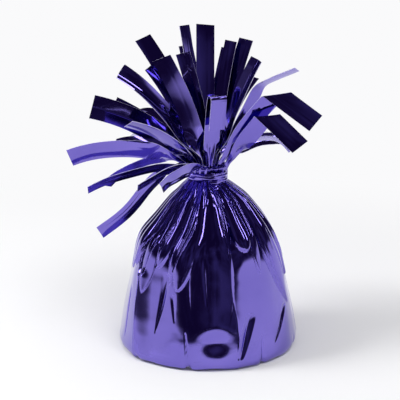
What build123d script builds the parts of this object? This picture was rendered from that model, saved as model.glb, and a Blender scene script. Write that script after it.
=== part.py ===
import math
import os

from build123d import *

# Balloon weight: a film sheet drawn up over a weighted cup, tied at the neck and cut into a fringe.
# Millimetres, +Z up, origin at the centre of the foot.

# Upside-down cup that carries the body
cup_wall = 0.8
cup_height = 37.0
cup_mouth_radius = 29.9
cup_top_radius = 25.4
cup_rim_width = 1.4
cup_rim_depth = 2.6
cup_corner = 5.0

# Card in the mouth of the cup, and the cast filling
card_thickness = 1.0
card_clearance = 0.4
fill_clearance = 0.15

# Film wrap: drawn up over the cup with a little slack, pleated over the shoulder, tied and flared
film_gauge = 0.5
rim_slack = 1.7
shoulder_slack = 0.6
foot_rounding = 0.8
crown_height = 25.3
neck_radius = 6.6
neck_length = 3.0
collar_radius = 8.8
collar_length = 2.7
pleat_depth = 2.1
neck_pleat_depth = 0.9
collar_pleat_depth = 1.6

# Foot below the rim: share of the rim's height, share of the way out to it, share of the pleat depth
foot_shares = ((0.0, 0.0, 0.02), (0.3, 0.7, 0.02))
# Cone between the rim and the shoulder: share of the rise, share of the draw-in, share of the pleat depth
cone_shares = (
    (0.0, 0.0, 0.02),
    (0.14, 0.1, 0.02),
    (0.28, 0.29, 0.03),
    (0.42, 0.43, 0.05),
    (0.67, 0.64, 0.14),
    (1.0, 1.0, 0.4),
)
# Shoulder between the cone and the neck, in the same three shares
crown_shares = (
    (0.16, 0.07, 0.55),
    (0.3, 0.18, 0.7),
    (0.51, 0.37, 0.92),
    (0.71, 0.58, 1.0),
    (0.89, 0.83, 0.72),
    (0.96, 0.95, 0.5),
)
# Where the first pleat starts, in degrees, and the widths of the pleats as shares of an even pleat
pleat_start = -176.0
pleat_shares = (
    (1.33, 1.17, 0.78, 0.89, 1.44, 0.5, 0.94, 1.17, 1.28, 0.94)
    + (0.89, 1.06, 0.83, 1.11, 0.89, 1.0, 0.94, 1.06, 0.83, 0.95)
)

# Most that a pleat stands out, as a share of its width
roundest_share = 0.4

# Tie wound round the neck
tie_diameter = 1.4
tie_pitch = 1.9
tie_clearance = 0.25
tie_quarter_turns = 6
tie_start_angle = -90.0

# Fringe: strips cut in the film above the tie
strip_length = 56.0
strip_width = 7.0
strip_gauge = 0.35
strip_root_width = 1.3
strip_root_gap = 0.3
strip_stations = 25

# Where the strips leave the collar, as shares of its radius, from its edge to its middle
edge_share, outer_share, inner_share, middle_share = 0.93, 0.68, 0.43, 0.19
# Share of a strip's length over which it opens to its full width, and over which it rolls to its full roll
opening_share = 0.5
rolling_share = 0.35
# Share of a strip's length after which it may fold, and over which the fold turns
fold_share = 0.55
fold_run_share = 0.25

# One row a strip: seat share, then in degrees the seat's direction and the heading, the elevation at the root
# and at the end, the power of the bend, the fold, the roll near the root and the roll that comes with the fold,
# then length and width shares.
strip_shares = (
    (middle_share, 180, 148, 84, 78, 1.0, 0, -25, 0, 0.90, 0.60),
    (middle_share, 106, 90, 83, 80, 1.0, 0, 0, 0, 0.89, 0.95),
    (middle_share, 8, 36, 81, 76, 1.0, 0, 35, 0, 0.80, 0.65),
    (middle_share, 266, 172, 84, 72, 1.0, 0, -86, 0, 0.74, 0.75),
    (inner_share, 44, 28, 77, 69, 1.0, 0, 45, 0, 0.82, 0.75),
    (inner_share, -7, -9, 75, 62, 1.0, 0, 55, 0, 0.74, 0.75),
    (outer_share, 252, 186, 80, 60, 1.0, 0, -104, 0, 0.76, 1.00),
    (inner_share, 210, 198, 66, 36, 1.0, 0, -60, 0, 0.83, 0.90),
    (inner_share, 177, 174, 75, 52, 1.0, 0, -60, 0, 0.70, 0.55),
    (inner_share, 143, 145, 73, 46, 1.0, 0, -40, 0, 0.90, 0.90),
    (inner_share, 109, 108, 72, 50, 1.0, 0, -15, 0, 0.80, 0.75),
    (inner_share, 76, 70, 71, 50, 1.0, 0, 20, 0, 0.78, 0.75),
    (outer_share, 14, -4, 66, 61, 1.0, -36, -24, 28, 0.82, 0.85),
    (outer_share, -36, -12, 58, 42, 1.0, -76, -14, 56, 0.92, 1.05),
    (outer_share, -78, -62, 84, 76, 1.0, -176, 0, 0, 0.74, 0.90),
    (outer_share, 230, 200, 50, 18, 1.0, 0, 30, 0, 0.56, 1.00),
    (outer_share, 187, 181, 48, 12, 1.0, 0, -70, 0, 0.75, 1.25),
    (outer_share, 165, 163, 46, 20, 1.0, 0, -60, 0, 0.64, 0.80),
    (outer_share, 142, 141, 66, -30, 1.1, 0, -20, 0, 0.68, 0.75),
    (outer_share, 116, 116, 54, 20, 1.0, 0, -20, 0, 0.78, 0.85),
    (outer_share, 92, 92, 54, 14, 1.0, 0, 0, 0, 0.82, 0.85),
    (outer_share, 66, 64, 54, 16, 1.0, 0, 20, 0, 0.78, 0.85),
    (edge_share, -16, -24, 54, 46, 1.0, -106, -18, 62, 0.73, 1.00),
    (edge_share, 10, -2, 54, -54, 0.9, 0, 4, 0, 0.50, 0.80),
    (edge_share, 194, 188, 32, -18, 0.8, 0, 70, 0, 0.775, 1.05),
    (edge_share, 175, 174, 14, -46, 0.8, 0, 50, 0, 0.58, 0.65),
    (edge_share, 210, 206, 12, -120, 0.8, 90, 20, 30, 0.75, 0.80),
    (edge_share, 226, 211, 10, -16, 0.8, 0, 60, 0, 0.76, 0.55),
    (edge_share, 243, 224, 14, -22, 0.8, 0, 50, 0, 0.52, 0.75),
    (edge_share, 260, 240, 10, -14, 1.0, 0, 85, 0, 0.52, 0.70),
    (edge_share, 155, 155, 28, -20, 1.0, 0, -40, 0, 0.55, 0.85),
    (edge_share, 132, 132, 26, -24, 1.0, 0, -20, 0, 0.70, 0.85),
    (edge_share, 108, 108, 24, -30, 1.0, 0, -5, 0, 0.80, 0.90),
    (edge_share, 84, 84, 26, -26, 1.0, 0, 10, 0, 0.80, 0.90),
    (edge_share, 60, 60, 28, -22, 1.0, 0, 20, 0, 0.72, 0.90),
    (edge_share, 36, 36, 30, -20, 1.0, 0, 35, 0, 0.54, 0.85),
)

os.makedirs("parts", exist_ok=True)

cup_floor = film_gauge
cup_top = cup_floor + cup_height
rim_radius = cup_mouth_radius + cup_rim_width + rim_slack + film_gauge
rim_height = foot_rounding
foot_radius = rim_radius - foot_rounding
shoulder_radius = cup_top_radius + shoulder_slack + film_gauge
shoulder_height = cup_top + film_gauge
neck_start = shoulder_height + crown_height
neck_end = neck_start + neck_length
collar_top = neck_end + collar_length


def export(builder, label):
    builder.part.label = label
    export_step(builder.part, f"parts/{label}.step")


# Film wrap
def wrap_sections():
    foot_reach = rim_radius - foot_radius
    cone_rise = shoulder_height - rim_height
    cone_draw = rim_radius - shoulder_radius
    crown_draw = shoulder_radius - neck_radius
    sections = [
        (rise * rim_height, foot_radius + reach * foot_reach, depth * pleat_depth)
        for rise, reach, depth in foot_shares
    ]
    sections += [
        (rim_height + rise * cone_rise, rim_radius - draw * cone_draw, depth * pleat_depth)
        for rise, draw, depth in cone_shares
    ]
    sections += [
        (shoulder_height + rise * crown_height, shoulder_radius - draw * crown_draw, depth * pleat_depth)
        for rise, draw, depth in crown_shares
    ]
    return sections


def pleat_bounds():
    total = sum(pleat_shares)
    bounds = [pleat_start]
    for share in pleat_shares:
        bounds.append(bounds[-1] + 360.0 * share / total)
    return bounds


def pleated_outline(radius, depth):
    bounds = pleat_bounds()
    valley = radius - depth
    with BuildLine() as outline:
        for begin, end in zip(bounds[:-1], bounds[1:]):
            middle, half = math.radians(begin + end) / 2, math.radians(end - begin) / 2
            chord = 2 * valley * math.sin(half)
            crest = min(radius, valley * math.cos(half) + roundest_share * chord)
            ThreePointArc(
                (valley * math.cos(middle - half), valley * math.sin(middle - half)),
                (crest * math.cos(middle), crest * math.sin(middle)),
                (valley * math.cos(middle + half), valley * math.sin(middle + half)),
            )
    make_face(outline.edges())


body_sections = wrap_sections()
throat_sections = [
    body_sections[-1],
    (neck_start, neck_radius, neck_pleat_depth),
    (neck_end, neck_radius, neck_pleat_depth),
    (collar_top, collar_radius, collar_pleat_depth),
]
cavity_sections = body_sections[:-1]

with BuildPart() as foil_wrap:
    for height, radius, depth in body_sections:
        with BuildSketch(Plane.XY.offset(height)):
            pleated_outline(radius, depth)
    loft()
    for height, radius, depth in throat_sections:
        with BuildSketch(Plane.XY.offset(height)):
            pleated_outline(radius, depth)
    loft()
    for height, radius, depth in cavity_sections:
        with BuildSketch(Plane.XY.offset(max(height, film_gauge))):
            pleated_outline(radius - film_gauge, depth)
    loft(mode=Mode.SUBTRACT)
export(foil_wrap, "foil_wrap")

# Upside-down cup, standing on the film that runs under the foot
with BuildPart() as inner_cup:
    with BuildSketch(Plane.XZ):
        with BuildLine():
            Polyline(
                (0, cup_top),
                (cup_top_radius, cup_top),
                (cup_mouth_radius, cup_floor + cup_rim_depth),
                (cup_mouth_radius + cup_rim_width, cup_floor + cup_rim_depth),
                (cup_mouth_radius + cup_rim_width, cup_floor),
                (cup_mouth_radius - cup_wall, cup_floor),
                (cup_mouth_radius - cup_wall, cup_floor + cup_rim_depth),
                (cup_top_radius - cup_wall, cup_top - cup_wall),
                (0, cup_top - cup_wall),
                close=True,
            )
        make_face()
    revolve(axis=Axis.Z)
    fillet(inner_cup.edges().filter_by(GeomType.CIRCLE).group_by(Axis.Z)[-1], cup_corner)
export(inner_cup, "inner_cup")

# Card that closes the mouth of the cup
card_top = cup_floor + card_thickness
with BuildPart() as base_card:
    with BuildSketch(Plane.XY.offset(cup_floor)):
        Circle(cup_mouth_radius - cup_wall - card_clearance)
    extrude(amount=card_thickness)
export(base_card, "base_card")

# Cast filling inside the cup
with BuildPart() as weight_core:
    with BuildSketch(Plane.XZ):
        with BuildLine():
            Polyline(
                (0, card_top),
                (cup_mouth_radius - cup_wall - fill_clearance, card_top),
                (cup_mouth_radius - cup_wall - fill_clearance, cup_floor + cup_rim_depth),
                (cup_top_radius - cup_wall - fill_clearance, cup_top - cup_wall - fill_clearance),
                (0, cup_top - cup_wall - fill_clearance),
                close=True,
            )
        make_face()
    revolve(axis=Axis.Z)
    fillet(weight_core.edges().filter_by(GeomType.CIRCLE).group_by(Axis.Z)[-1], cup_corner)
export(weight_core, "weight_core")

# Tie: one tube wound round the neck, with straight ends one diameter long
tie_radius = neck_radius + tie_diameter / 2 + tie_clearance
tie_rise = tie_pitch * tie_quarter_turns / 4
tie_bottom = neck_start + (neck_length - tie_rise) / 2


def tie_point(quarter):
    angle = math.radians(tie_start_angle + 90.0 * quarter)
    height = tie_bottom + tie_pitch * quarter / 4
    return Vector(tie_radius * math.cos(angle), tie_radius * math.sin(angle), height)


def tie_direction(quarter):
    angle = math.radians(tie_start_angle + 90.0 * quarter)
    climb = tie_pitch / (2 * math.pi)
    return Vector(-tie_radius * math.sin(angle), tie_radius * math.cos(angle), climb).normalized()


def biarc_joint(start, start_direction, end, end_direction):
    chord = end - start
    along = chord.dot(start_direction + end_direction)
    spread = 2 * (1 - start_direction.dot(end_direction))
    reach = (math.sqrt(along * along + spread * chord.dot(chord)) - along) / spread
    return (start + end + (start_direction - end_direction) * reach) / 2


tie_end_run = tie_diameter
with BuildPart() as neck_tie:
    with BuildLine() as tie_path:
        Line(tie_point(0) - tie_direction(0) * tie_end_run, tie_point(0))
        for quarter in range(tie_quarter_turns):
            start, end = tie_point(quarter), tie_point(quarter + 1)
            start_direction, end_direction = tie_direction(quarter), tie_direction(quarter + 1)
            joint = biarc_joint(start, start_direction, end, end_direction)
            first = TangentArc(start, joint, tangent=start_direction)
            TangentArc(joint, end, tangent=first % 1)
        Line(end, end + end_direction * tie_end_run)
    with BuildSketch(Plane(origin=tie_path.line @ 0, z_dir=tie_path.line % 0)):
        Circle(tie_diameter / 2)
    sweep()
export(neck_tie, "neck_tie")

tie_course = tie_path.wire()
tie_sample_count = 400
tie_samples = [tie_course @ (step / tie_sample_count) for step in range(tie_sample_count + 1)]
half_turn_samples = int(math.pi * tie_radius * tie_sample_count / tie_course.length)
tie_gap = min(
    (near - far).length - tie_diameter
    for index, near in enumerate(tie_samples)
    for far in tie_samples[index + half_turn_samples:]
)
print(f"neck tie: length {tie_course.length:.1f}, least gap to itself {tie_gap:.2f}")


# Fringe strips
def ease(value):
    value = min(1.0, max(0.0, value))
    return value * value * (3 - 2 * value)


def strip_planes(row):
    seat_share, seat, heading, rise, droop, bend, fold, roll, fold_roll, length_share, width_share = row
    seat_radius = collar_radius * seat_share
    place = Vector(
        seat_radius * math.cos(math.radians(seat)),
        seat_radius * math.sin(math.radians(seat)),
        collar_top + strip_root_gap,
    )
    length = strip_length * length_share
    full_width = strip_width * width_share
    side = Vector(-math.sin(math.radians(heading)), math.cos(math.radians(heading)), 0)
    steps_between = 8
    steps = (strip_stations - 1) * steps_between
    planes = []
    for step in range(steps + 1):
        share = step / steps
        folded = ease((share - fold_share) / fold_run_share)
        elevation = math.radians(rise + (droop - rise) * share**bend + fold * folded)
        forward = Vector(
            math.cos(elevation) * math.cos(math.radians(heading)),
            math.cos(elevation) * math.sin(math.radians(heading)),
            math.sin(elevation),
        )
        if step % steps_between == 0:
            turn = math.radians(roll * ease(share / rolling_share) + fold_roll * folded)
            across = side * math.cos(turn) + forward.cross(side) * math.sin(turn)
            width = strip_root_width + (full_width - strip_root_width) * ease(share / opening_share)
            planes.append((Plane(origin=place, x_dir=across, z_dir=forward), width))
        place = place + forward * (length / steps)
    return planes


for number, row in enumerate(strip_shares, start=1):
    with BuildPart() as fringe_strip:
        for plane, width in strip_planes(row):
            with BuildSketch(plane):
                Rectangle(width, strip_gauge)
        loft()
    export(fringe_strip, f"fringe_strip_{number:02d}")
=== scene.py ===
import math
import random

import bpy
import numpy as np
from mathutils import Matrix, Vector


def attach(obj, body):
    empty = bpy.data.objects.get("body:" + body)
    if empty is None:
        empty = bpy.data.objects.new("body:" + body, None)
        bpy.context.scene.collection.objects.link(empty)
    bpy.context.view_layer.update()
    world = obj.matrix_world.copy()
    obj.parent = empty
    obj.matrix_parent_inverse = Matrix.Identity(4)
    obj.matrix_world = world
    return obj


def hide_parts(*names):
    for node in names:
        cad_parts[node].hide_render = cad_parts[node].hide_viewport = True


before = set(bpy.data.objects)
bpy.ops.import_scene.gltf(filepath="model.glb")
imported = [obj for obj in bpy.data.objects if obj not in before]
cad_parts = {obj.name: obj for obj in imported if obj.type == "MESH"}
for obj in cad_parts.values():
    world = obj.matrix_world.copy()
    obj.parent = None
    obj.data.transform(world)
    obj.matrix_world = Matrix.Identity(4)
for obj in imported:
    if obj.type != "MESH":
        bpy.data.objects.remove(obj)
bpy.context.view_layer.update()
scene = bpy.context.scene
scene.view_settings.view_transform = "Standard"
# lengths are in millimetres and angles in degrees, unless a note says otherwise
mm = 0.001
# a whole turn, and the range of a random phase, in radians
fullTurn = 2 * math.pi
phases = (0.0, 6.28)
print("frame loaded:", len(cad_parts), "nodes")

# camera at the photograph's angle
shot = dict(
    look=(-2.41, 0.0, 54.6), distance=540.0, elevation=16.0, halfFrame=74.15,
    sensor=36.0, nearClip=10.0, farClip=20000.0,
)


def makeCamera():
    data = bpy.data.cameras.new("shotCamera")
    data.sensor_width = shot["sensor"]
    data.lens = shot["sensor"] / 2 * shot["distance"] / shot["halfFrame"]
    data.clip_start = shot["nearClip"] * mm
    data.clip_end = shot["farClip"] * mm
    camera = bpy.data.objects.new("shotCamera", data)
    tilt = math.radians(shot["elevation"])
    back = Vector((0.0, -math.cos(tilt), math.sin(tilt))) * shot["distance"]
    camera.location = (Vector(shot["look"]) + back) * mm
    camera.rotation_euler = (math.pi / 2 - tilt, 0.0, 0.0)
    scene.collection.objects.link(camera)
    scene.camera = camera


makeCamera()
print("camera placed")


# shader sockets as values: sums and products add Math nodes
class Wire:
    def __init__(self, tree, socket):
        self.tree, self.socket = tree, socket

    def put(self, operation, a, b):
        return addNode(self.tree, "ShaderNodeMath", dict(operation=operation), {0: a, 1: b})

    def __add__(self, other):
        return self.put("ADD", self, other)

    __radd__ = __add__

    def __sub__(self, other):
        return self.put("SUBTRACT", self, other)

    def __mul__(self, other):
        return self.put("MULTIPLY", self, other)

    def atMost(self, other):
        return self.put("MINIMUM", self, other)


def addNode(tree, kind, settings=None, sockets=None, out=0):
    made = tree.nodes.new(kind)
    for name, value in (settings or {}).items():
        if name == "stops":
            while len(made.color_ramp.elements) < len(value):
                made.color_ramp.elements.new(0.5)
            for element, (place, colour) in zip(made.color_ramp.elements, value):
                element.position, element.color = place, colour
        else:
            setattr(made, name, value)
    for key, value in (sockets or {}).items():
        if isinstance(value, Wire):
            tree.links.new(value.socket, made.inputs[key])
        else:
            made.inputs[key].default_value = value
    return Wire(tree, made.outputs[out]) if made.outputs else None


def addPlace(tree):
    return addNode(tree, "ShaderNodeTexCoord", None, None, "Object")


# noise from its scale per metre, its detail and its roughness
def addNoise(tree, place, scale, detail, rough=0.5):
    sockets = {"Vector": place, "Scale": scale, "Detail": detail, "Roughness": rough}
    return addNode(tree, "ShaderNodeTexNoise", None, sockets)


def addRamp(tree, factor, places, colours):
    return addNode(tree, "ShaderNodeValToRGB", dict(stops=tuple(zip(places, colours))), {"Fac": factor})


def addBump(tree, height, strength, depth):
    sockets = {"Strength": strength, "Distance": depth * mm, "Height": height}
    return addNode(tree, "ShaderNodeBump", None, sockets)


def addGlow(tree, colour, strength=1.0):
    return addNode(tree, "ShaderNodeEmission", None, {"Color": colour, "Strength": strength})


def addMix(tree, share, first, second):
    return addNode(tree, "ShaderNodeMixShader", None, {0: share, 1: first, 2: second})


def newFinish(name):
    material = bpy.data.materials.new(name)
    material.use_nodes = True
    material.node_tree.nodes.clear()
    return material, material.node_tree


def closeFinish(tree, shader):
    addNode(tree, "ShaderNodeOutputMaterial", None, {"Surface": shader})


def rgb(r, g, b):
    return (r, g, b, 1.0)


# metallised film: a dyed mirror with a faint crinkle
filmLook = dict(
    colours=(rgb(0.165, 0.127, 0.53), rgb(0.20, 0.155, 0.60)), stops=(0.3, 0.7), mottle=(55.0, 3.0),
    smooth=0.05, dull=0.11, smear=(140.0, 4.0), soft=(140.0, 1.0), crinkle=(420.0, 2.0, 0.4),
    crinkleShare=0.35, crinkleDepth=0.04, coat=0.35, coatRough=0.04,
    strengths=dict(wrapFilm=0.6, tieFilm=0.84, fringeFilm=0.36),
)


def makeFilm(name):
    material, tree = newFinish(name)
    look = filmLook
    place = addPlace(tree)
    dye = addRamp(tree, addNoise(tree, place, *look["mottle"]), look["stops"], look["colours"])
    smear = addNoise(tree, place, *look["smear"])
    rough = look["smooth"] + smear * smear * (look["dull"] - look["smooth"])
    fine = addNoise(tree, place, *look["crinkle"])
    soft = addNoise(tree, place, *look["soft"])
    height = fine * look["crinkleShare"] + soft
    bump = addBump(tree, height, look["strengths"][name], look["crinkleDepth"])
    shader = addNode(tree, "ShaderNodeBsdfPrincipled", None, {
        "Base Color": dye, "Metallic": 1.0, "Roughness": rough, "Normal": bump,
        "Coat Weight": look["coat"], "Coat Roughness": look["coatRough"],
    })
    closeFinish(tree, shader)
    return material


# raw cut edge of the film, paler than its face: partly the edge's own clear, silvered colour and partly a
# painted highlight, a pale colour that draws bright lines along the strip edges
edgeLook = dict(
    colours=(rgb(0.46, 0.42, 0.74), rgb(0.72, 0.69, 0.92)), stops=(0.3, 0.7), nicks=(700.0, 2.0),
    metal=0.2, rough=0.3, roughSpread=0.2,
)


def makeCutEdgeAndHighlight():
    material, tree = newFinish("cutEdgeAndHighlight")
    look = edgeLook
    nicks = addNoise(tree, addPlace(tree), *look["nicks"])
    tint = addRamp(tree, nicks, look["stops"], look["colours"])
    rough = look["rough"] + nicks * look["roughSpread"]
    sockets = {"Base Color": tint, "Metallic": look["metal"], "Roughness": rough}
    closeFinish(tree, addNode(tree, "ShaderNodeBsdfPrincipled", None, sockets))
    return material


# hidden pieces: moulded cup, cast filling, pulp card
hiddenLook = dict(
    stops=(0.3, 0.7), detail=5.0, strength=0.5, roughSpread=0.15,
    cup=dict(colours=(rgb(0.55, 0.55, 0.56), rgb(0.70, 0.70, 0.71)), grain=900.0, rough=0.45, depth=0.03),
    filling=dict(colours=(rgb(0.42, 0.41, 0.39), rgb(0.66, 0.65, 0.62)), grain=420.0, rough=0.9, depth=0.2),
    card=dict(colours=(rgb(0.50, 0.42, 0.31), rgb(0.66, 0.57, 0.44)), grain=650.0, rough=0.85, depth=0.08),
)


def makeHidden(key):
    material, tree = newFinish(key + "Finish")
    shared, look = hiddenLook, hiddenLook[key]
    grain = addNoise(tree, addPlace(tree), look["grain"], shared["detail"])
    tint = addRamp(tree, grain, shared["stops"], look["colours"])
    bump = addBump(tree, grain, shared["strength"], look["depth"])
    rough = look["rough"] + (grain - 0.5) * shared["roughSpread"]
    sockets = {"Base Color": tint, "Roughness": rough, "Normal": bump}
    closeFinish(tree, addNode(tree, "ShaderNodeBsdfPrincipled", None, sockets))
    return material


def ease(t):
    t = np.clip(t, 0.0, 1.0)
    return t * t * (3.0 - 2.0 * t)


def turnGap(a, b):
    return (a - b + 180.0) % 360.0 - 180.0


def polar(radius, degrees, height):
    angle = math.radians(degrees)
    return (radius * math.cos(angle), radius * math.sin(angle), height)


def meshPiece(name, points, faces, materials, flats=(), slots=None):
    mesh = bpy.data.meshes.new(name)
    mesh.from_pydata([tuple(p) for p in np.asarray(points) * mm], [], faces)
    for material in materials:
        mesh.materials.append(material)
    mesh.polygons.foreach_set("use_smooth", [i not in flats for i in range(len(faces))])
    if slots is not None:
        mesh.polygons.foreach_set("material_index", slots)
    mesh.update()
    piece = bpy.data.objects.new(name, mesh)
    scene.collection.objects.link(piece)
    return piece


# film wrap: one sheet from under the foot, up over the shoulder, through the neck to the flared collar
wrapMake = dict(
    around=900, along=280, seed=11, perSpan=40, footRows=4, leastRadius=0.2, leastHeight=0.02,
    # radius and height over the crests of the film
    profile=(
        (1.0, 0.35), (12.0, 0.3), (24.0, 0.2), (30.0, 0.1), (32.2, 0.12), (33.4, 0.5), (34.0, 1.3),
        (34.2, 2.6), (33.95, 4.4), (33.55, 6.8), (33.05, 9.6), (32.45, 12.8), (31.85, 16.4), (31.1, 20.8),
        (30.2, 26.0), (29.1, 31.5), (27.7, 37.0), (25.7, 41.8), (23.2, 45.8), (19.4, 50.8), (15.2, 56.0),
        (12.2, 58.8), (9.6, 61.0), (7.6, 62.4), (6.6, 63.7), (6.3, 64.9), (6.5, 66.0), (7.1, 67.2),
        (7.6, 68.2), (7.3, 68.5), (6.0, 68.2), (4.0, 68.0), (1.2, 67.9),
    ),
    # creases of the lower panels: azimuth at the shoulder and at the foot, and whether the crease is soft
    creases=(
        (-154.0, -140.0, False), (-112.0, -103.0, True), (-71.0, -70.0, False), (-44.0, -53.0, True),
        (-16.0, -27.0, True), (6.0, 3.0, False), (32.0, 36.0, True), (66.0, 72.0, False),
        (102.0, 98.0, True), (134.0, 138.0, False), (166.0, 163.0, True),
    ),
    # how flat the panels are, where their creases run, and where they rise and fade
    panel=dict(
        share=0.5, top=36.0, run=34.0, riseFrom=-14.0, riseOver=26.0, fadeFrom=32.0, fadeOver=14.0,
        widest=60.0, softWidth=4.0, softTurn=4.0, ridge=0.12, ridgeWidth=0.5,
    ),
    # how a sharp crease wanders from its line, at rates in radians a millimetre
    jag=dict(size=1.1, rate=0.21, fineShare=0.12, fineRate=0.9, fineShift=2.0, width=4.5),
    # how far the folds stand out, by height, then the lowest and highest level of the smoothed curve,
    # how many levels it has, and how many on each side are averaged
    depths=(
        (13.0, 0.0), (19.0, 0.4), (26.0, 0.85), (32.0, 1.1), (40.0, 1.5), (45.6, 1.9), (50.9, 2.1),
        (56.0, 1.9), (60.5, 1.4), (63.3, 0.8), (66.3, 0.7), (69.0, 0.9),
    ),
    levels=(-4.0, 74.0, 781), levelsSmoothed=35,
    # folds: azimuth at the neck and at the tip, height of the tip, half width, point of the tip, height,
    # fading of the tip
    folds=(
        (-177.0, -173.0, 30.0, 3.8, 0.7, 0.8, 0.5), (-159.0, -161.0, 33.0, 4.4, 0.7, 1.0, 0.3),
        (-141.0, -143.0, 25.0, 4.0, 0.7, 0.9, 0.6), (-122.0, -131.0, 35.5, 3.6, 0.55, 1.1, 0.2),
        (-112.0, -119.0, 30.0, 2.4, 0.7, 0.8, 0.7), (-102.0, -111.5, 28.5, 4.0, 0.5, 1.15, 0.2),
        (-86.0, -87.0, 6.0, 7.4, 0.6, 0.9, 1.0), (-73.0, -72.0, 38.0, 1.6, 0.8, 1.0, 0.5),
        (-62.0, -57.0, 41.8, 4.6, 0.35, 1.2, 0.0), (-47.0, -46.0, 33.0, 2.4, 0.7, 1.0, 0.3),
        (-34.0, -16.0, 18.0, 5.0, 0.8, 1.6, 0.2), (-20.0, -7.0, 27.0, 3.0, 0.7, 1.4, 0.2),
        (-6.0, 4.0, 31.0, 3.8, 0.7, 0.9, 0.4), (15.0, 22.0, 22.0, 4.4, 0.7, 1.0, 0.4),
        (36.0, 42.0, 36.0, 4.0, 0.45, 1.1, 0.1), (56.0, 61.0, 22.0, 4.6, 0.8, 1.0, 0.4),
        (75.0, 77.0, 38.0, 4.0, 0.4, 1.1, 0.1), (94.0, 96.0, 26.0, 4.6, 0.7, 1.0, 0.5),
        (113.0, 113.0, 37.0, 4.0, 0.45, 1.1, 0.1), (131.0, 129.0, 23.0, 4.4, 0.8, 1.0, 0.4),
        (148.0, 146.0, 36.0, 3.8, 0.5, 1.0, 0.2), (166.0, 164.0, 25.0, 4.4, 0.7, 1.0, 0.5),
    ),
    # where the folds start, the radius that their widths are for, how full they are, how they drift and end
    fold=dict(neck=62.5, radius=25.0, fullness=2.1, drift=1.2, closeFrom=0.45, fadeOver=0.5, least=0.0001),
    # gathers: thin sharp folds that run down from the neck
    gather=dict(
        count=20, depth=0.06, shifts=(0.1, 0.9), ends=(44.0, 58.0), leans=(-5.0, 5.0), sizes=(0.5, 1.2),
        widths=(0.35, 0.75), leanFrom=62.0, leanOver=26.0, widenFrom=64.0, widen=0.02, narrow=0.6,
        fadeOver=9.0, top=68.0, topOver=3.0,
    ),
    # overlap of the sheet beside its first crease
    overlap=dict(step=0.8, edge=0.05, edgeOver=0.3, fadeOver=8.0, top=35.0, topOver=5.0, footOver=3.0),
    # swells and dents in the panels: azimuth, height, half size across and up, swell
    dents=(
        (-85.0, 14.0, 8.8, 7.0, 0.95), (-84.5, 11.0, 4.4, 3.8, -0.85), (-57.0, 43.0, 6.5, 8.0, 1.4),
        (20.0, 16.0, 5.0, 8.0, -0.3), (88.0, 14.0, 6.0, 6.0, -0.35), (150.0, 18.0, 5.0, 8.0, -0.3),
    ),
    # grooves: azimuth and height at each end, half width at the first end and at the last, depth
    grooves=(
        (-59.0, 19.5, -69.0, 4.0, 3.4, 1.3, 1.0), (-22.0, 18.5, -42.0, 6.5, 2.0, 0.4, 0.9),
        (-104.0, 14.0, -101.5, 0.8, 0.5, 0.9, 0.5), (-52.0, 11.0, -53.0, 0.8, 0.4, 0.9, 0.5),
        (-121.0, 34.0, -126.5, 12.0, 3.2, 0.4, 0.9), (-115.0, 27.0, -112.0, 17.0, 1.8, 0.3, 0.4),
        (-163.0, 25.0, -160.0, 5.0, 1.6, 0.5, 0.6), (-151.0, 30.0, -141.5, 2.0, 0.9, 0.9, 0.7),
        (60.0, 26.0, 52.0, 6.0, 1.2, 0.5, 0.5), (118.0, 30.0, 124.0, 8.0, 1.4, 0.4, 0.5),
        (24.0, 30.0, 20.0, 5.0, 1.2, 0.4, 0.45), (88.0, 26.0, 92.0, 6.0, 1.6, 0.4, 0.5),
        (150.0, 28.0, 146.0, 8.0, 1.5, 0.4, 0.5), (-38.5, 49.0, -29.0, 30.0, 1.0, 0.6, 0.6),
        (-31.0, 32.0, -15.0, 17.0, 0.8, 0.3, 0.5), (-29.0, 47.0, -15.0, 25.0, 1.0, 0.4, 0.6),
        (-18.0, 47.0, -4.0, 27.0, 1.2, 0.5, 0.6), (-10.0, 46.0, 2.0, 26.0, 1.0, 0.4, 0.5),
        (-5.0, 30.0, -14.0, 17.0, 0.8, 0.3, 0.4), (-150.0, 48.0, -162.0, 32.0, 1.0, 0.5, 0.6),
        (-139.0, 47.0, -146.0, 31.0, 1.0, 0.4, 0.5), (-127.0, 51.0, -135.0, 35.0, 0.9, 0.4, 0.5),
        (-104.5, 53.0, -117.0, 35.0, 0.9, 0.4, 0.5), (-70.0, 50.0, -72.0, 40.0, 0.8, 0.4, 0.5),
        (-93.0, 45.0, -90.0, 23.0, 1.8, 0.6, 0.28),
    ),
    groove=dict(sharpness=1.4, ending=0.6),
    # slack: slow waves, their count round the body, slant in radians a millimetre, and size
    slack=(
        (5, 0.02, 0.12), (9, 0.035, 0.08), (14, 0.05, 0.05), (23, 0.07, 0.02), (7, 0.16, 0.04),
        (4, 0.24, 0.03),
    ),
    slackFrom=4.0,
    # pinches in the edge of the foot: azimuth, width, depth
    notches=(
        (-139.5, 2.0, 1.0), (-101.5, 1.8, 1.1), (-53.0, 2.0, 0.9), (-15.0, 2.2, 0.8), (33.0, 2.4, 1.0),
        (71.0, 2.0, 0.9), (109.0, 2.6, 1.1), (163.0, 2.2, 0.9),
    ),
    notch=dict(rise=3.0, innerRadius=30.0),
    # inside of the collar, and the film under the foot
    collar=dict(depth=0.5, count=23, wander=0.8, wanderCount=5),
    underside=dict(depth=0.1, count=17, spiral=0.15),
    # the shoulder leans a little to the right
    lean=dict(shift=1.0, start=40.0, startOver=10.0, end=58.0, endOver=5.0),
)


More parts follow.
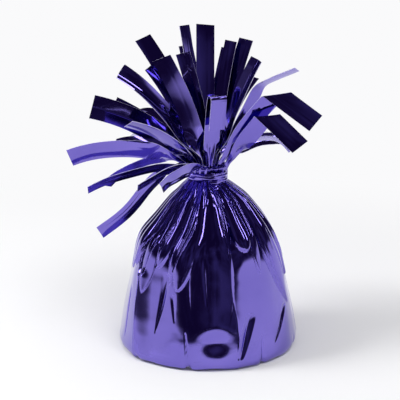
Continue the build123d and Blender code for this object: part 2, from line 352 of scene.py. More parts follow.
# a smooth curve through the points, cut into rows of even length
def smoothRows(points, count):
    points = np.array(points, float)
    ends = np.vstack([2 * points[0] - points[1], points, 2 * points[-1] - points[-2]])
    t = np.linspace(0.0, 1.0, wrapMake["perSpan"], endpoint=False)[:, None]
    fine = []
    for k in range(len(points) - 1):
        a, b, c, d = ends[k:k + 4]
        curve = 2 * b + (c - a) * t + (2 * a - 5 * b + 4 * c - d) * t * t + (3 * b - a - 3 * c + d) * t ** 3
        fine.append(0.5 * curve)
    fine = np.vstack(fine + [points[-1:]])
    run = np.concatenate([[0.0], np.cumsum(np.hypot(*np.diff(fine, axis=0).T))])
    steps = np.linspace(0.0, run[-1], count)
    return np.stack([np.interp(steps, run, fine[:, 0]), np.interp(steps, run, fine[:, 1])], 1)


# values averaged round the body, over a bell of that many degrees, cut at three times that
def softened(values, degrees):
    step = 360.0 / values.shape[1]
    reach = int(3 * degrees / step)
    weights = np.exp(-0.5 * (np.arange(-reach, reach + 1) * step / degrees) ** 2)
    total = sum(w * np.roll(values, k - reach, 1) for k, w in enumerate(weights))
    return total / weights.sum()


# distance along the film from a line at that azimuth
def arcGap(az, line, radius):
    return np.radians(turnGap(az, line)) * radius


# places of the panels' creases at each height
def creaseLines(height):
    panel = wrapMake["panel"]
    drop = np.clip((panel["top"] - height) / panel["run"], 0.0, 1.0)
    return [top + (foot - top) * drop for top, foot, _ in wrapMake["creases"]]


# panels: the lower body runs straight from crease to crease
def panelOffsets(az, radius, height):
    panel, jag = wrapMake["panel"], wrapMake["jag"]
    softs = [soft for _, _, soft in wrapMake["creases"]]
    edges = creaseLines(height)
    for edge, soft in zip(edges, softs):
        if not soft:
            wander = np.sin(height * jag["rate"] + edge)
            wander += jag["fineShare"] * np.sin(height * jag["fineRate"] + jag["fineShift"] * edge)
            az = az - jag["size"] * wander * np.exp(-(turnGap(az, edge) / jag["width"]) ** 2)
    flat = np.zeros_like(az)
    softness = np.zeros_like(az)
    for k, edge in enumerate(edges):
        after = edges[k + 1] if k + 1 < len(edges) else edges[0] + 360.0
        span = (after - edge) / 2.0
        gap = turnGap(az, edge + span)
        inside = np.radians(np.clip(gap, -panel["widest"], panel["widest"]))
        chord = radius * (np.cos(np.radians(span)) / np.cos(inside) - 1.0)
        flat = np.where(np.abs(gap) <= span, flat + chord * panel["share"], flat)
        near = arcGap(az, edge, radius)
        if softs[k]:
            softness = np.maximum(softness, np.exp(-(near / panel["softWidth"]) ** 2))
        else:
            flat += panel["ridge"] * np.clip(1.0 - np.abs(near) / panel["ridgeWidth"], 0.0, 1.0)
    shaped = flat + (softened(flat, panel["softTurn"]) - flat) * softness
    rise = ease((height - panel["riseFrom"]) / panel["riseOver"])
    return shaped * rise * (1.0 - ease((height - panel["fadeFrom"]) / panel["fadeOver"]))


# shoulder: each fold comes out of the neck, swells and ends in a tip, and the fuller one lies on top
def foldOffsets(az, radius, height):
    make, fold = wrapMake, wrapMake["fold"]
    levels = np.linspace(*make["levels"])
    sides = make["levelsSmoothed"]
    window = 2 * sides + 1
    curve = np.interp(levels, [d[0] for d in make["depths"]], [d[1] for d in make["depths"]])
    curve = np.convolve(np.pad(curve, sides, mode="edge"), np.ones(window) / window, "valid")
    top = np.zeros_like(az)
    for begin, end, tip, half, point, tall, fading in make["folds"]:
        share = np.clip((fold["neck"] - height) / (fold["neck"] - tip), 0.0, 1.0)
        centre = begin + (end - begin) * share ** fold["drift"]
        closing = np.clip((share - fold["closeFrom"]) / (1.0 - fold["closeFrom"]), 0.0, 1.0)
        wide = half * radius / fold["radius"] * (1.0 - closing ** 2) ** point + fold["least"]
        aside = np.abs(arcGap(az, centre, radius) / wide)
        dome = np.sqrt(np.clip(1.0 - aside ** fold["fullness"], 0.0, 1.0))
        faded = 1.0 - fading * (1.0 - ease((1.0 - share) / fold["fadeOver"]))
        top = np.maximum(top, dome * tall * faded * (share < 1.0))
    return np.interp(height, levels, curve) * (top - 1.0)


def gatherOffsets(az, radius, height, dice):
    gather = wrapMake["gather"]
    out = np.zeros_like(az)
    for k in range(gather["count"]):
        top = -180.0 + 360.0 * (k + dice.uniform(*gather["shifts"])) / gather["count"]
        end = dice.uniform(*gather["ends"])
        lean = dice.uniform(*gather["leans"])
        size = gather["depth"] * dice.uniform(*gather["sizes"])
        thick = dice.uniform(*gather["widths"])
        line = top + lean * np.clip((gather["leanFrom"] - height) / gather["leanOver"], 0.0, 1.0)
        below = gather["widenFrom"] - np.minimum(height, gather["widenFrom"])
        wide = thick * (gather["narrow"] + gather["widen"] * below)
        ridge = np.clip(1.0 - np.abs(arcGap(az, line, radius)) / wide, 0.0, 1.0)
        ridge *= ease((height - end) / gather["fadeOver"])
        out += size * ridge * ease((gather["top"] - height) / gather["topOver"])
    return out


def overlapOffsets(az, radius, height):
    lap = wrapMake["overlap"]
    side = arcGap(az, creaseLines(height)[0], radius)
    shelf = ease((side + lap["edge"]) / lap["edgeOver"]) * (1.0 - ease(side / lap["fadeOver"]))
    ends = ease((lap["top"] - height) / lap["topOver"]) * ease(height / lap["footOver"])
    return lap["step"] * shelf * ends


def dentOffsets(az, radius, height):
    out = np.zeros_like(az)
    for place, level, wide, high, swell in wrapMake["dents"]:
        across = arcGap(az, place, radius) / wide
        up = (height - level) / high
        out += swell * np.exp(-across * across - up * up)
    return out


def grooveOffsets(az, radius, height):
    groove = wrapMake["groove"]
    out = np.zeros_like(az)
    for beginAz, beginHeight, endAz, endHeight, wide, slim, deep in wrapMake["grooves"]:
        share = np.clip((beginHeight - height) / (beginHeight - endHeight), 0.0, 1.0)
        line = beginAz + (endAz - beginAz) * share
        aside = np.abs(arcGap(az, line, radius)) / (wide + (slim - wide) * share)
        valley = np.clip(1.0 - aside, 0.0, 1.0) ** groove["sharpness"]
        inside = (height < beginHeight) & (height > endHeight)
        ends = np.sin(np.where(inside, share, 0.0) * math.pi) ** groove["ending"]
        out -= deep * valley * ends
    return out


def slackOffsets(az, height, dice):
    out = np.zeros_like(az)
    for turns, rate, size in wrapMake["slack"]:
        phase = dice.uniform(*phases)
        slope = dice.choice((-1, 1)) * rate
        out += size * np.sin(np.radians(turns * az) + slope * height + phase)
    return out * ease(height / wrapMake["slackFrom"])


def notchOffsets(az, radius, height):
    notch = wrapMake["notch"]
    out = np.zeros_like(az)
    for place, wide, deep in wrapMake["notches"]:
        gap = turnGap(az, place) / wide
        out -= deep * np.exp(-gap * gap)
    return out * np.exp(-(height / notch["rise"]) ** 2) * (radius > notch["innerRadius"])


# how far the film lies off its profile; all but the panels and notches stay on the outer face
def wrapOffsets(az, radius, height, outside):
    dice = random.Random(wrapMake["seed"])
    shaped = foldOffsets(az, radius, height) + gatherOffsets(az, radius, height, dice)
    shaped += overlapOffsets(az, radius, height) + dentOffsets(az, radius, height)
    shaped += grooveOffsets(az, radius, height) + slackOffsets(az, height, dice)
    whole = panelOffsets(az, radius, height) + notchOffsets(az, radius, height)
    return whole + np.where(outside, shaped, 0.0)


def makeWrap(film):
    make, collar, under, lean = wrapMake, wrapMake["collar"], wrapMake["underside"], wrapMake["lean"]
    around, along = make["around"], make["along"]
    rows = smoothRows(make["profile"], along)
    slope = np.gradient(rows, axis=0)
    slope /= np.linalg.norm(slope, axis=1)[:, None]
    az, radius = np.meshgrid(np.linspace(-180.0, 180.0, around, endpoint=False), rows[:, 0])
    angle = np.radians(az)
    height = np.repeat(rows[:, 1][:, None], around, 1)
    index = np.repeat(np.arange(along)[:, None], around, 1)
    lip = int(np.argmax(rows[:, 1]))
    foot = int(np.argmax(rows[:, 0])) - make["footRows"]
    off = wrapOffsets(az, radius, height, (index >= foot) & (index <= lip))
    # the inside of the collar keeps the lip's gathers, run out towards the middle
    gathers = np.sin(collar["count"] * angle + collar["wander"] * np.sin(collar["wanderCount"] * angle))
    gathers *= collar["depth"] * np.clip(radius / rows[lip, 0], 0.0, 1.0)
    off = np.where(index > lip, gathers, off)
    ripple = under["depth"] * np.sin(under["count"] * angle + under["spiral"] * radius)
    off = np.where(index < foot, off + ripple, off)
    r = np.maximum(radius + off * slope[:, 1][:, None], make["leastRadius"])
    z = np.maximum(height - off * slope[:, 0][:, None], make["leastHeight"])
    leaning = ease((z - lean["start"]) / lean["startOver"])
    leaning *= 1.0 - ease((z - lean["end"]) / lean["endOver"])
    x = r * np.cos(angle) + lean["shift"] * leaning
    points = np.stack([x, r * np.sin(angle), z], -1).reshape(-1, 3)
    faces = []
    for j in range(along - 1):
        low, high = j * around, (j + 1) * around
        for i in range(around):
            after = (i + 1) % around
            faces.append((low + i, low + after, high + after, high + i))
    faces.append(tuple(range(around - 1, -1, -1)))
    faces.append(tuple((along - 1) * around + i for i in range(around)))
    piece = meshPiece("filmWrap", points, faces, [film])
    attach(piece, "body")
    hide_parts("foil_wrap")


# tie: two twisted strips of film, wound round the neck side by side
tieMake = dict(
    radius=7.35, low=63.4, high=66.2, start=-90.0, turns=1.5, thick=0.52, tall=0.82, sides=22, steps=260,
    # lift, push outwards and size of each strand
    strands=((-0.42, 0.1, 1.0), (0.5, -0.05, 0.9)),
    # lobes of the twist: count, turns along the tie, size; then a finer wrinkle: count, radians, size
    lobes=(3, 9.0, 0.16), wrinkles=(7, 31.0, 0.06),
    # random wobble, and how the ends tuck in
    seed=5, waves=9, waveRates=(4.0, 30.0), waveSizes=(0.02, 0.07), waveScale=3.0,
    wobbleOut=0.5, wobbleUp=0.8, tuckRate=18.0, tuckDepth=1.4, tuckSize=0.5,
)


def makeTie(film):
    make = tieMake
    dice = random.Random(make["seed"])
    waves = []
    for _ in range(make["waves"]):
        rate, phase = dice.uniform(*make["waveRates"]), dice.uniform(*phases)
        waves.append((rate, phase, dice.uniform(*make["waveSizes"])))
    lobeCount, lobeTurns, lobeSize = make["lobes"]
    foldCount, foldTurn, foldSize = make["wrinkles"]
    sides, steps = make["sides"], make["steps"]
    points, faces = [], []
    for strand, (lift, push, size) in enumerate(make["strands"]):
        base = len(points)
        for k in range(steps + 1):
            share = k / steps
            azimuth = make["start"] + 360.0 * make["turns"] * share
            wobble = 0.0
            for rate, phase, big in waves:
                wobble += big * math.sin(rate * share * make["waveScale"] + phase + strand)
            tuck = min(1.0, share * make["tuckRate"], (1.0 - share) * make["tuckRate"])
            centre = make["radius"] + push + wobble * make["wobbleOut"]
            centre -= (1.0 - tuck) * make["tuckDepth"]
            level = make["low"] + (make["high"] - make["low"]) * share
            level += lift + wobble * make["wobbleUp"]
            grown = size * (1.0 - make["tuckSize"] + make["tuckSize"] * tuck)
            for q in range(sides):
                a = fullTurn * q / sides
                lobe = 1.0 + lobeSize * math.cos(lobeCount * a + lobeTurns * fullTurn * share + strand)
                lobe += foldSize * math.sin(foldCount * a - foldTurn * share)
                out = math.cos(a) * make["thick"] * lobe * grown
                up = math.sin(a) * make["tall"] * lobe * grown
                points.append(polar(centre + out, azimuth, level + up))
        for k in range(steps):
            for q in range(sides):
                a, b = base + k * sides + q, base + k * sides + (q + 1) % sides
                faces.append((a, b, b + sides, a + sides))
        faces.append(tuple(base + q for q in range(sides - 1, -1, -1)))
        faces.append(tuple(base + steps * sides + q for q in range(sides)))
    piece = meshPiece("neckTie", points, faces, [film])
    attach(piece, "body")
    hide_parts("neck_tie")


# fringe: each strip stands from its seat in the collar, opens out of its gather and bends over
fringeMake = dict(
    length=56.0, width=7.0, gauge=0.2, seatHeight=69.3, collarRadius=8.8, along=100, across=16, seed=300,
    # shares of the length: where the strip has opened and rolled, where a fold starts and how far it runs
    opened=0.22, rolled=0.35, foldAt=0.605, foldRun=0.14,
    # seats of the four rings of strips, as shares of the collar's radius
    seats=dict(edge=0.93, outer=0.68, inner=0.43, middle=0.19),
    # where each ring of strips comes out of the tie, and how wide it is there
    throat=dict(edge=(6.9, 2.7), outer=(5.0, 2.3), inner=(3.4, 1.9), middle=(1.5, 1.5)),
    throatHeight=66.3, throatSteps=6, throatKnee=1.3,
    # gather at the root: depth as a share of the width, zigzags, and the shares over which it flattens
    gatherShare=0.25, gatherMost=0.42, zigzags=2.0, flatFrom=0.12, flatOver=0.4,
    # small wobbles, at rates in radians along the strip, then a fine lengthwise line, gutter and tip
    rollRates=(4.0, 7.0), rollWobble=2.2, swayRates=(9.0, 15.0), sway=0.22, leastFace=1e-9,
    linePlaces=(-0.5, 0.5), lineHeight=0.06, lineWidth=0.05, gutterLevel=0.33, tipFrom=0.6, tipOver=0.4,
    # strips folded over on a slanting crease: place along the strip, slant and turn of the fold
    creased={14: (0.64, 45.0, 140.0), 23: (0.58, 40.0, 130.0)},
    creaseRun=0.03, slantRun=0.18,
    # strips whose bend is spread out: where it starts and how far it runs
    spread={27: (0.45, 0.55)},
)
# each strip's seat, heading and bend, in degrees, its length and width as shares, and its creases
stripNames = (
    "ring", "seat", "heading", "rise", "droop", "bend", "fold", "roll", "foldRoll", "length", "width",
    "crease", "gutter", "skew",
)
fringeRows = (
    ("middle", 180, 148, 84, 78, 1.0, 0, -25, 0, 0.9, 0.60, 0.0, 0.7, 0.05),
    ("middle", 106, 90, 83, 80, 1.0, 0, 0, 0, 0.89, 0.95, 0.0, 0.1, 0.08),
    ("middle", 8, 36, 81, 76, 1.0, 0, 35, 0, 0.8, 0.65, 0.0, 0.3, 0.0),
    ("middle", 266, 172, 84, 72, 1.0, 0, -86, 0, 0.74, 0.75, 0.0, 0.3, 0.05),
    ("inner", 44, 28, 77, 69, 1.0, 0, 45, 0, 0.82, 0.75, 0.0, 0.1, -0.08),
    ("inner", -7, -9, 75, 62, 1.0, 0, 55, 0, 0.74, 0.75, 0.5, 0.0, -0.1),
    ("outer", 252, 186, 80, 60, 1.0, 0, -104, 0, 0.76, 1.00, 0.0, 0.2, 0.12),
    ("inner", 210, 198, 66, 36, 1.0, 0, -60, 0, 0.83, 0.90, 0.0, 0.8, 0.1),
    ("inner", 177, 174, 75, 52, 1.0, 0, -60, 0, 0.7, 0.55, 0.0, 0.2, 0.0),
    ("inner", 143, 145, 73, 46, 1.0, 0, -40, 0, 0.9, 0.90, 0.0, 0.2, 0.1),
    ("inner", 109, 108, 72, 50, 1.0, 0, -15, 0, 0.8, 0.75, 0.0, 0.3, 0.0),
    ("inner", 76, 70, 71, 50, 1.0, 0, 20, 0, 0.78, 0.75, 0.0, 0.3, 0.0),
    ("outer", 14, -4, 66, 61, 1.0, -36, -45, 20, 0.82, 0.85, 0.0, 0.1, 0.1),
    ("outer", -36, -12, 58, 42, 1.0, 0, -60, 0, 0.92, 1.05, 0.0, 0.1, 0.05),
    ("outer", -78, -62, 84, 76, 1.0, -176, 0, 0, 0.74, 0.90, 0.0, 0.2, 0.0),
    ("outer", 230, 200, 50, 18, 1.0, 0, 30, 0, 0.56, 1.00, 0.0, 0.2, 0.0),
    ("outer", 187, 181, 48, 12, 1.0, 0, -70, 0, 0.75, 1.25, 0.3, 0.1, 0.05),
    ("outer", 165, 163, 46, 20, 1.0, 0, -60, 0, 0.64, 0.80, 0.0, 0.3, 0.0),
    ("outer", 142, 141, 66, -30, 1.1, 0, -20, 0, 0.68, 0.75, 0.0, 0.3, 0.0),
    ("outer", 116, 116, 54, 20, 1.0, 0, -20, 0, 0.78, 0.85, 0.0, 0.3, 0.0),
    ("outer", 92, 92, 54, 14, 1.0, 0, 0, 0, 0.82, 0.85, 0.0, 0.3, 0.05),
    ("outer", 66, 64, 54, 16, 1.0, 0, 20, 0, 0.78, 0.85, 0.0, 0.3, 0.0),
    ("edge", -16, -24, 54, 46, 1.0, 0, -55, 0, 0.73, 1.00, 0.0, 0.2, 0.1),
    ("edge", 10, -2, 60, -52, 1.2, 0, -30, 0, 0.5, 0.80, 0.0, 0.1, 0.2),
    ("edge", 194, 188, 32, -18, 0.8, 0, 70, 0, 0.775, 1.05, 0.0, 0.2, 0.05),
    ("edge", 175, 174, 14, -46, 0.8, 0, 50, 0, 0.58, 0.65, 0.0, 0.2, 0.3),
    ("edge", 210, 206, 14, -78, 0.55, 50, 80, 0, 0.75, 0.80, 0.0, 0.2, 0.1),
    ("edge", 226, 211, 10, -16, 0.8, 0, 60, 0, 0.76, 0.55, 0.0, 0.2, 0.1),
    ("edge", 243, 224, 14, -22, 0.8, 0, 50, 0, 0.52, 0.75, 0.0, 0.2, 0.15),
    ("edge", 260, 240, 10, -14, 1.0, 0, 85, 0, 0.52, 0.70, 0.0, 0.3, 0.5),
    ("edge", 155, 155, 28, -20, 1.0, 0, -40, 0, 0.55, 0.85, 0.0, 0.2, 0.0),
    ("edge", 132, 132, 26, -24, 1.0, 0, -20, 0, 0.7, 0.85, 0.0, 0.3, 0.1),
    ("edge", 108, 108, 24, -30, 1.0, 0, -5, 0, 0.8, 0.90, 0.0, 0.3, 0.0),
    ("edge", 84, 84, 26, -26, 1.0, 0, 10, 0, 0.8, 0.90, 0.0, 0.3, -0.1),
    ("edge", 60, 60, 28, -22, 1.0, 0, 20, 0, 0.72, 0.90, 0.0, 0.3, 0.0),
    ("edge", 36, 36, 30, -20, 1.0, 0, 35, 0, 0.54, 0.85, 0.0, 0.3, 0.1),
)


def turned(vector, axis, angle):
    aside = np.cross(axis, vector)
    along = axis * (axis @ vector) * (1.0 - math.cos(angle))
    return vector * math.cos(angle) + aside * math.sin(angle) + along


# frames along a strip: share of its length, point, directions across, out and along, width and slant
def stripFrames(number, strip, dice):
    make = fringeMake
    foldAt, foldRun = make["spread"].get(number, (make["foldAt"], make["foldRun"]))
    crease = make["creased"].get(number)
    if crease:
        creaseAt, creaseSlant, creaseTurn = crease
        tilt = math.radians(creaseSlant)
    rollRate, rollPhase = dice.uniform(*make["rollRates"]), dice.uniform(*phases)
    swayRate, swayPhase = dice.uniform(*make["swayRates"]), dice.uniform(*phases)
    turn = math.radians(strip["heading"])
    side = np.array([-math.sin(turn), math.cos(turn), 0.0])
    seatRadius = make["collarRadius"] * make["seats"][strip["ring"]]
    point = np.array(polar(seatRadius, strip["seat"], make["seatHeight"]))
    root = make["throat"][strip["ring"]][1]
    full = make["width"] * strip["width"]
    step = make["length"] * strip["length"] / make["along"]
    frames = []
    for k in range(make["along"] + 1):
        share = k / make["along"]
        place, slant = share, 0.0
        if crease:
            place = min(share, creaseAt)
            before = ease((share - creaseAt + make["slantRun"]) / make["slantRun"])
            after = ease((share - creaseAt - make["creaseRun"]) / make["slantRun"])
            slant = math.tan(tilt) * float(before - after)
        folded = float(ease((share - foldAt) / foldRun))
        lift = strip["rise"] + (strip["droop"] - strip["rise"]) * place ** strip["bend"]
        lift = math.radians(lift + strip["fold"] * folded)
        forward = np.array(polar(math.cos(lift), strip["heading"], math.sin(lift)))
        rolling = strip["roll"] * float(ease(share / make["rolled"])) + strip["foldRoll"] * folded
        rolling += make["rollWobble"] * math.sin(rollRate * share + rollPhase) * share
        rolling = math.radians(rolling)
        across = side * math.cos(rolling) + np.cross(forward, side) * math.sin(rolling)
        if crease and share > creaseAt:
            axis = across * math.cos(tilt) + forward * math.sin(tilt)
            over = math.radians(creaseTurn) * min(1.0, (share - creaseAt) / make["creaseRun"])
            forward, across = turned(forward, axis, over), turned(across, axis, over)
        normal = np.cross(forward, across)
        wide = root + (full - root) * float(ease(share / make["opened"]))
        sway = make["sway"] * math.sin(swayRate * share + swayPhase) * share
        frames.append((share, point + normal * sway, across, normal, forward, wide, slant))
        point = point + forward * step
    return frames


# below its seat the strip goes down through the collar to the tie
def throatFrames(strip, seatFrame):
    make = fringeMake
    _, point, across, normal, forward, wide, _ = seatFrame
    foot = np.array(polar(make["throat"][strip["ring"]][0], strip["seat"], make["throatHeight"]))
    knee = point - forward * make["throatKnee"]
    frames = []
    for k in range(make["throatSteps"]):
        share = k / make["throatSteps"]
        middle = foot * (1 - share) ** 2 + knee * 2 * share * (1 - share) + point * share * share
        frames.append((0.0, middle, across, normal, forward, wide, 0.0))
    return frames


# middle surface of a strip, as rows of points
def stripSheet(number, strip):
    make = fringeMake
    dice = random.Random(make["seed"] + number)
    frames = stripFrames(number, strip, dice)
    full = make["width"] * strip["width"]
    # places across the strip, from edge to edge
    u = np.linspace(-1.0, 1.0, make["across"] + 1)
    zigzag = np.abs(((u + 1.0) * make["zigzags"]) % 2.0 - 1.0) - 0.5
    lineAt = dice.uniform(*make["linePlaces"])
    line = make["lineHeight"] * np.exp(-((u - lineAt) / make["lineWidth"]) ** 2)
    sheet = []
    for share, point, across, normal, forward, wide, slant in throatFrames(strip, frames[0]) + frames:
        flat = float(ease((share - make["flatFrom"]) / make["flatOver"]))
        gather = make["gatherShare"] * math.sqrt(max(0.0, full * full - wide * wide))
        gather = min(gather, make["gatherMost"] * wide) * (1.0 - flat)
        bowl = strip["gutter"] * (u * u - make["gutterLevel"]) * wide / make["width"]
        rise = zigzag * gather + (bowl + strip["crease"] * np.abs(u) * wide / 2 + line) * flat
        tip = strip["skew"] * float(ease((share - make["tipFrom"]) / make["tipOver"])) + slant
        aside = u * wide / 2
        points = point + np.outer(aside, across) + np.outer(rise, normal)
        sheet.append(points + np.outer(tip * aside, forward))
    return np.array(sheet)


def makeStrip(number, strip, film, edge):
    sheet = stripSheet(number, strip)
    face = np.cross(np.gradient(sheet, axis=0), np.gradient(sheet, axis=1))
    face /= np.linalg.norm(face, axis=2)[:, :, None] + fringeMake["leastFace"]
    half = face * fringeMake["gauge"] / 2
    top, bottom = (sheet + half).reshape(-1, 3), (sheet - half).reshape(-1, 3)
    rows, columns = sheet.shape[:2]
    under = rows * columns
    faces = []
    for j in range(rows - 1):
        for i in range(columns - 1):
            a, b = j * columns + i, (j + 1) * columns + i
            faces.append((b, b + 1, a + 1, a))
            faces.append((under + a, under + a + 1, under + b + 1, under + b))
    slots = [0] * len(faces)
    # rim, on its own points so that it stays crisp
    loop = [j * columns for j in range(rows)]
    loop += [(rows - 1) * columns + i for i in range(1, columns)]
    loop += [j * columns + columns - 1 for j in range(rows - 2, -1, -1)]
    loop += list(range(columns - 2, 0, -1))
    count = len(loop)
    base = 2 * under
    flats = set(range(len(faces), len(faces) + count))
    for k in range(count):
        a, b = base + k, base + (k + 1) % count
        faces.append((a, b, b + count, a + count))
        slots.append(1)
    points = np.vstack([top, bottom, top[loop], bottom[loop]])
    piece = meshPiece(f"fringeStrip{number:02d}", points, faces, [film, edge], flats, slots)
    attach(piece, f"strip_{number:02d}")
    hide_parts(f"fringe_strip_{number:02d}")


makeWrap(makeFilm("wrapFilm"))
print("wrap made")
makeTie(makeFilm("tieFilm"))
print("tie made")
fringeFilm = makeFilm("fringeFilm")
# pale rim colour for the strips: partly the cut edge's own colour, partly a painted highlight along the
# edges
cutEdgeAndHighlight = makeCutEdgeAndHighlight()
for number, row in enumerate(fringeRows, start=1):
    makeStrip(number, dict(zip(stripNames, row)), fringeFilm, cutEdgeAndHighlight)
print("fringe made:", len(fringeRows), "strips")

for node, key in (("inner_cup", "cup"), ("weight_core", "filling"), ("base_card", "card")):
    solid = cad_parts[node]
    solid.data.materials.clear()
    solid.data.materials.append(makeHidden(key))
print("hidden pieces finished")

# white sweep that keeps the shadow near the weight and goes to plain white further off
studioWhite = rgb(0.955, 0.955, 0.965)
sweepLook = dict(
    near=100.0, far=240.0, paper=rgb(0.9, 0.9, 0.905), tooth=(500.0, 3.0), strength=0.05, depth=0.1,
    rings=(60.0, 130.0, 300.0, 700.0, 1400.0, 2400.0), sides=64,
)


def makeSweep():
    look = sweepLook
    material, tree = newFinish("sweepPaper")
    place = addPlace(tree)
    away = addNode(tree, "ShaderNodeVectorMath", dict(operation="LENGTH"), {0: place}, "Value")
    limits = {0: away, 1: look["near"] * mm, 2: look["far"] * mm, 3: 0.0, 4: 1.0}
    share = addNode(tree, "ShaderNodeMapRange", dict(interpolation_type="SMOOTHSTEP"), limits)
    bump = addBump(tree, addNoise(tree, place, *look["tooth"]), look["strength"], look["depth"])
    paper = addNode(tree, "ShaderNodeBsdfDiffuse", None, {"Color": look["paper"], "Normal": bump})
    closeFinish(tree, addMix(tree, share, paper, addGlow(tree, studioWhite)))
    sides = look["sides"]
    points = [(0.0, 0.0, 0.0)]
    for radius in look["rings"]:
        points += [polar(radius, 360.0 * k / sides, 0.0) for k in range(sides)]
    faces = [(0, 1 + k, 1 + (k + 1) % sides) for k in range(sides)]
    for j in range(len(look["rings"]) - 1):
        for k in range(sides):
            a, b = 1 + j * sides + k, 1 + j * sides + (k + 1) % sides
            faces.append((a, a + sides, b + sides, b))
    meshPiece("sweep", points, faces, [material])


# dark tent round the camera side and overhead, open low at the sides and back, seen only in the film
tentLook = dict(
    away=1100.0, lift=0.6, turns=120, levels=24, top=89.0, crowding=1.4,
    colours=(rgb(0.020, 0.011, 0.037), rgb(0.085, 0.075, 0.14)), stops=(0.45, 0.72), nap=(2.6, 3.0),
    # height of the hem: it opens past the front, narrows on the far right and is high at the back
    facing=-90.0, front=46.0, frontOver=10.0, left=1.5, right=5.0, farRight=0.5, farFrom=96.0,
    farOver=16.0, back=30.0, backFrom=148.0, backOver=14.0,
    # the hem glows: where that starts, over what angle, and how far up
    glowFrom=32.0, glowOver=18.0, soft=6.0,
)
# apron on the floor in front, pale along its near and outer edges
apronLook = dict(
    rows=(-130.0, -180.0, -230.0, -420.0, -1000.0), halfWide=140.0, spread=0.62, columns=6,
    lift=0.6, sag=0.01, nearFrom=-230.0, nearOver=100.0, outerFrom=0.6, outerOver=0.4,
)


# a card that is seen only in reflections
def makeFlag(name, points, faces, material, glow=None):
    flag = meshPiece(name, points, faces, [material])
    if glow is not None:
        shade = flag.data.attributes.new("glow", "FLOAT", "POINT")
        shade.data.foreach_set("value", glow)
    flag.visible_camera = False
    flag.visible_diffuse = False
    flag.visible_shadow = False
    flag.visible_transmission = False


def makeTentCloth():
    look = tentLook
    material, tree = newFinish("tentCloth")
    tint = addRamp(tree, addNoise(tree, addPlace(tree), *look["nap"]), look["stops"], look["colours"])
    glow = addNode(tree, "ShaderNodeAttribute", dict(attribute_name="glow"), None, "Fac")
    closeFinish(tree, addMix(tree, glow, addGlow(tree, tint), addGlow(tree, studioWhite)))
    return material


def hemHeight(azimuth, off):
    look = tentLook
    side = look["left"]
    onRight = abs(azimuth) < 90.0
    if onRight:
        far = float(ease((off - look["farFrom"]) / look["farOver"]))
        side = look["right"] + (look["farRight"] - look["right"]) * far
    opened = float(ease((off - look["front"]) / look["frontOver"]))
    behind = float(ease((off - look["backFrom"]) / look["backOver"]))
    return side * opened + (look["back"] - side) * behind


def makeTent(cloth):
    look = tentLook
    points, shades, faces = [], [], []
    perColumn = look["levels"] + 1
    for k in range(look["turns"]):
        azimuth = -180.0 + 360.0 * k / look["turns"]
        off = abs(turnGap(azimuth, look["facing"]))
        hem = hemHeight(azimuth, off)
        glow = ease((off - look["glowFrom"]) / look["glowOver"])
        for j in range(perColumn):
            level = hem + (look["top"] - hem) * (j / look["levels"]) ** look["crowding"]
            lift = math.radians(level)
            height = look["away"] * math.sin(lift) + look["lift"]
            points.append(polar(look["away"] * math.cos(lift), azimuth, height))
            shades.append(float(glow * (1.0 - ease((level - hem) / look["soft"]))))
        after = (k + 1) % look["turns"]
        for j in range(look["levels"]):
            a, b = k * perColumn + j, after * perColumn + j
            faces.append((a, b, b + 1, a + 1))
    makeFlag("darkTent", points, faces, cloth, shades)


def makeApron(cloth):
    look = apronLook
    points, shades, faces = [], [], []
    half = look["columns"]
    columns = 2 * half + 1
    for y in look["rows"]:
        near = ease((y - look["nearFrom"]) / look["nearOver"])
        for k in range(-half, half + 1):
            x = k / half * (look["halfWide"] - y * look["spread"])
            points.append((x, y, look["lift"] - look["sag"] * abs(k)))
            shades.append(float(max(near, ease((abs(k) / half - look["outerFrom"]) / look["outerOver"]))))
    for j in range(len(look["rows"]) - 1):
        for i in range(columns - 1):
            a, b = j * columns + i, (j + 1) * columns + i
            faces.append((a, b, b + 1, a + 1))
    makeFlag("darkApron", points, faces, cloth, shades)


# tall narrow lights that draw the bright lines on the folds: azimuth, width, lowest and highest, strength
lineLights = (
    ("leftLine", -154.0, 5.0, 36.0, 74.0, 6.0), ("rightLine", -28.0, 5.0, 46.0, 74.0, 6.0),
    ("farLeftLine", 176.0, 5.0, 20.0, 74.0, 6.0), ("lowLeftLine", 174.0, 3.0, 2.0, 20.0, 3.0),
    ("farRightLine", 4.0, 5.0, 30.0, 74.0, 6.0), ("backLeftLine", 146.0, 6.0, 34.0, 78.0, 6.0),
    ("backRightLine", 34.0, 6.0, 34.0, 78.0, 6.0),
)
lineLightMake = dict(away=1000.0, steps=8)


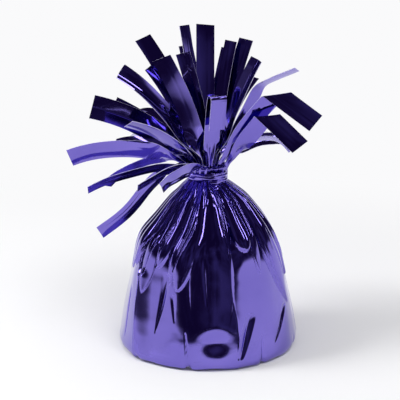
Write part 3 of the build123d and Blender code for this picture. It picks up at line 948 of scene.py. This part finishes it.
def makeLineLights():
    away, steps = lineLightMake["away"], lineLightMake["steps"]
    faces = [(2 * k, 2 * k + 1, 2 * k + 3, 2 * k + 2) for k in range(steps)]
    for name, azimuth, wide, low, high, power in lineLights:
        material, tree = newFinish(name + "Glow")
        closeFinish(tree, addGlow(tree, rgb(1.0, 1.0, 1.0), power))
        points = []
        for k in range(steps + 1):
            lift = math.radians(low + (high - low) * k / steps)
            for side in (-0.5, 0.5):
                points.append(polar(away * math.cos(lift), azimuth + wide * side, away * math.sin(lift)))
        makeFlag(name, points, faces, material)


# soft studio light: a key from the upper left and a wider lamp above the front; place, size and power
lampRows = (
    ("keyLamp", (-560.0, -60.0, 640.0), 260.0, 3.6),
    ("sideLamp", (300.0, -520.0, 900.0), 500.0, 3.4),
)
lampAim = (0.0, 0.0, 50.0)
worldFill = rgb(0.52, 0.52, 0.53)


def makeLamps():
    for name, place, size, power in lampRows:
        data = bpy.data.lights.new(name, "AREA")
        data.shape = "SQUARE"
        data.size = size * mm
        data.energy = power
        lamp = bpy.data.objects.new(name, data)
        lamp.location = Vector(place) * mm
        lamp.rotation_euler = (Vector(lampAim) * mm - lamp.location).to_track_quat("-Z", "Y").to_euler()
        lamp.visible_glossy = False
        scene.collection.objects.link(lamp)


# the world is white to the camera and in reflections, and a plain grey fill for the rest
def makeWorld():
    world = bpy.data.worlds.new("studio")
    scene.world = world
    world.use_nodes = True
    tree = world.node_tree
    tree.nodes.clear()
    rays = []
    for kind in ("Is Camera Ray", "Is Glossy Ray", "Is Transmission Ray"):
        rays.append(addNode(tree, "ShaderNodeLightPath", None, None, kind))
    camera, glossy, through = rays
    seen = (camera + glossy + through).atMost(1.0)
    fill = addNode(tree, "ShaderNodeBackground", None, {"Color": worldFill, "Strength": 1.0})
    white = addNode(tree, "ShaderNodeBackground", None, {"Color": studioWhite, "Strength": 1.0})
    addNode(tree, "ShaderNodeOutputWorld", None, {"Surface": addMix(tree, seen, fill, white)})


makeSweep()
tentCloth = makeTentCloth()
makeTent(tentCloth)
makeApron(tentCloth)
makeLineLights()
makeLamps()
makeWorld()
print("studio set")
